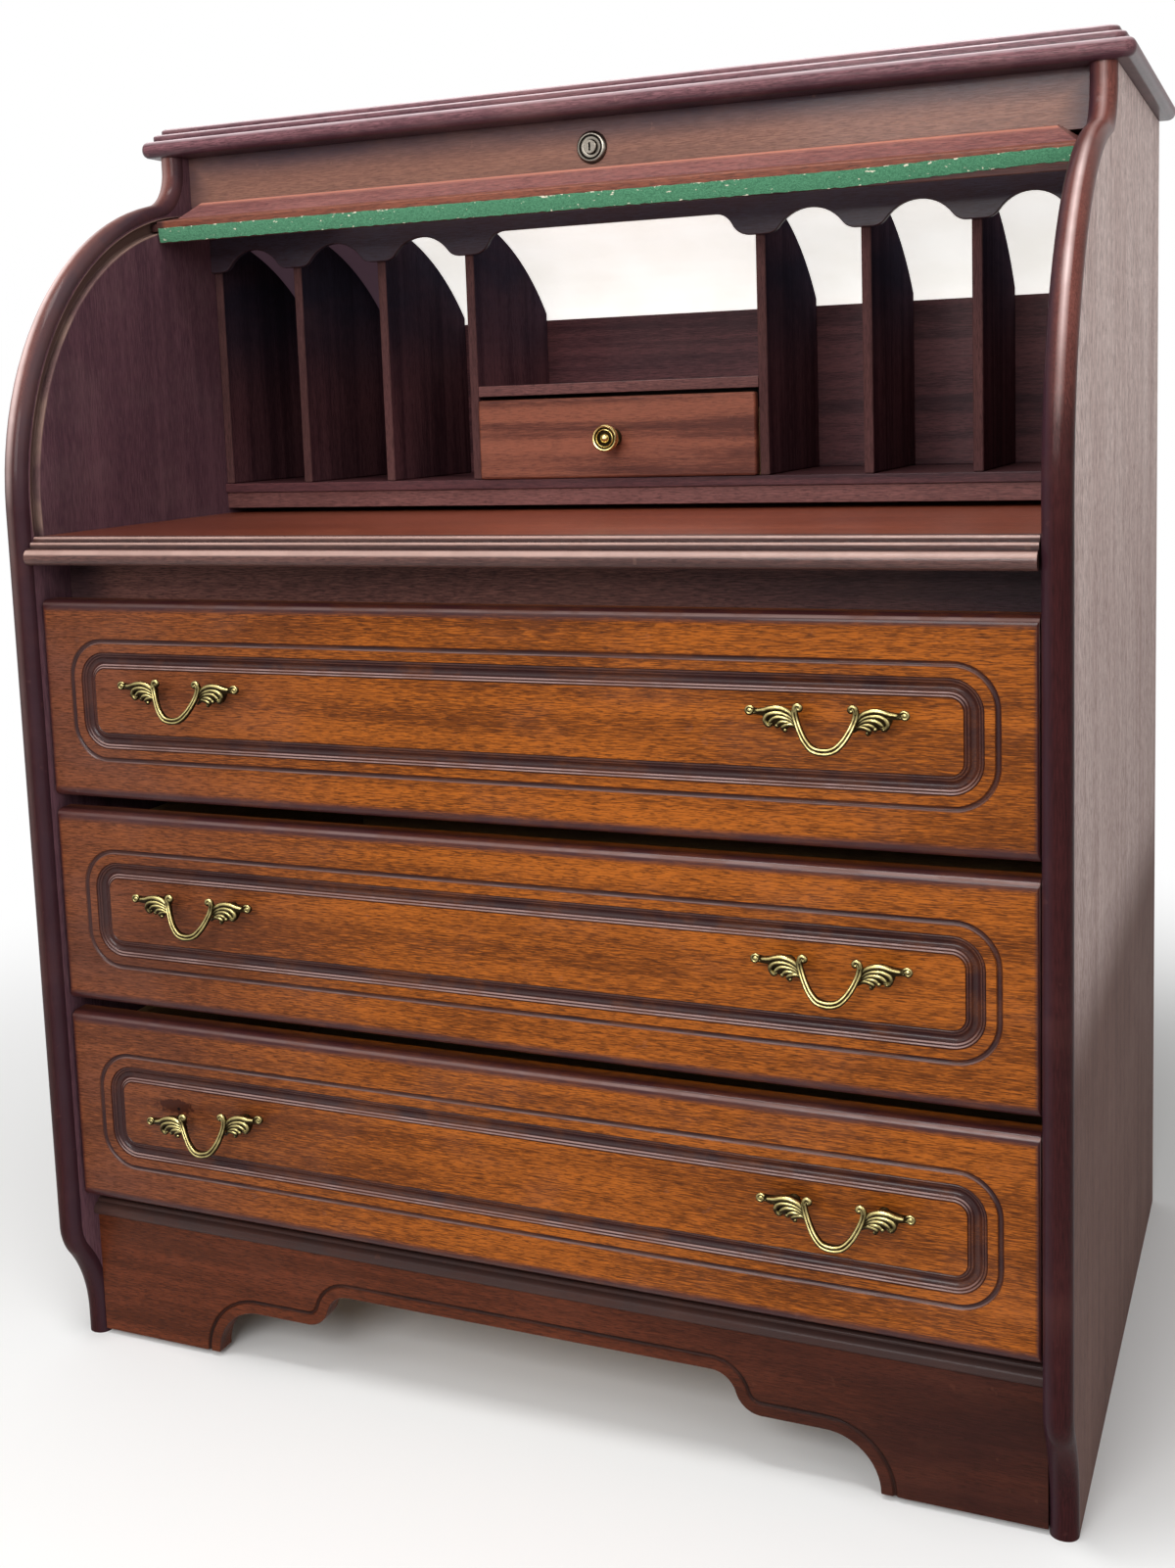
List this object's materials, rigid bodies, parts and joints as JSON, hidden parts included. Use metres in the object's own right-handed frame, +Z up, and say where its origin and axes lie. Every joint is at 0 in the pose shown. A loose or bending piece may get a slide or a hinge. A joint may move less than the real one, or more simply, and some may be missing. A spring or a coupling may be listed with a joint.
{
  "type": "roll-top desk",
  "caption": "Wooden roll-top desk: a slatted roll on a circular track over pigeonholes, a pull-out writing board, long drawers with brass pulls and a bracketed plinth.",
  "frame": {"origin": "middle of the bounding box's footprint, on the floor", "axes": "+Z up, -Y out of the front, +X to the right when facing the front"},
  "size_m": [0.94, 0.636, 1.134],
  "materials": {
    "mahogany": "satin lacquer, long grain",
    "dark_mahogany": "dark red-brown lacquer",
    "side_veneer": "fine upright grain, satin",
    "box_wood": "plain, unpolished",
    "brass": "antiqued cast brass",
    "lock_metal": "aged, worn",
    "felt": "worn baize",
    "canvas": "plain woven backing"
  },
  "bodies": {
    "carcass": {"side_panel_left": "side_veneer", "side_panel_right": "side_veneer", "lipping_left": "dark_mahogany", "lipping_right": "dark_mahogany", "top_board": "dark_mahogany", "fascia": "dark_mahogany", "apron_rail": "dark_mahogany", "plinth_board": "dark_mahogany", "bottom_board": "box_wood", "back_panel": "box_wood", "slide_runners": "box_wood", "drawer_runners": "box_wood", "pigeon_base": "dark_mahogany", "pigeon_riser": "dark_mahogany", "partition_1": "dark_mahogany", "partition_2": "dark_mahogany", "partition_3": "dark_mahogany", "partition_4": "dark_mahogany", "partition_5": "dark_mahogany", "partition_6": "dark_mahogany", "partition_7": "dark_mahogany", "partition_8": "dark_mahogany", "valance": "dark_mahogany", "pigeon_back": "dark_mahogany", "shelf": "dark_mahogany", "lock_bezel": "lock_metal", "lock_body": "lock_metal"},
    "writing_slide": {"writing_board": "dark_mahogany", "writing_edge": "dark_mahogany"},
    "roll": {"roll_rail": "dark_mahogany", "roll_pull": "dark_mahogany", "roll_felt": "felt", "roll_slats": "dark_mahogany", "roll_canvas": "canvas", "roll_tail": "dark_mahogany"},
    "lock": {"lock_plug": "lock_metal", "lock_cam": "lock_metal"},
    "small_drawer": {"small_drawer_front": "mahogany", "small_drawer_sides": "box_wood", "small_drawer_back": "box_wood", "small_drawer_bottom": "box_wood", "small_drawer_knob": "brass"},
    "drawer_1": {"drawer_1_front": "mahogany", "drawer_1_sides": "box_wood", "drawer_1_back": "box_wood", "drawer_1_bottom": "box_wood", "drawer_1_pulls": "brass"},
    "drawer_2": {"drawer_2_front": "mahogany", "drawer_2_sides": "box_wood", "drawer_2_back": "box_wood", "drawer_2_bottom": "box_wood", "drawer_2_pulls": "brass"},
    "drawer_3": {"drawer_3_front": "mahogany", "drawer_3_sides": "box_wood", "drawer_3_back": "box_wood", "drawer_3_bottom": "box_wood", "drawer_3_pulls": "brass"}
  },
  "joints": [
    {"name": "roll_turn", "type": "hinge", "parent": "carcass", "child": "roll", "pos_m": [0, -0.02098, 0.777], "axis": [1, 0, 0], "range_deg": [0, 80]},
    {"name": "lock_turn", "type": "hinge", "parent": "carcass", "child": "lock", "pos_m": [0, -0.02898, 1.08], "axis": [0, 1, 0], "range_deg": [0, 90]},
    {"name": "writing_pull_out", "type": "slide", "parent": "carcass", "child": "writing_slide", "axis": [0, -1, 0], "range_m": [0, 0.16]},
    {"name": "small_drawer_slide", "type": "slide", "parent": "carcass", "child": "small_drawer", "axis": [0, -1, 0], "range_m": [0, 0.14]},
    {"name": "drawer_1_slide", "type": "slide", "parent": "carcass", "child": "drawer_1", "axis": [0, -1, 0], "range_m": [0, 0.38]},
    {"name": "drawer_2_slide", "type": "slide", "parent": "carcass", "child": "drawer_2", "axis": [0, -1, 0], "range_m": [0, 0.38]},
    {"name": "drawer_3_slide", "type": "slide", "parent": "carcass", "child": "drawer_3", "axis": [0, -1, 0], "range_m": [0, 0.38]}
  ]
}
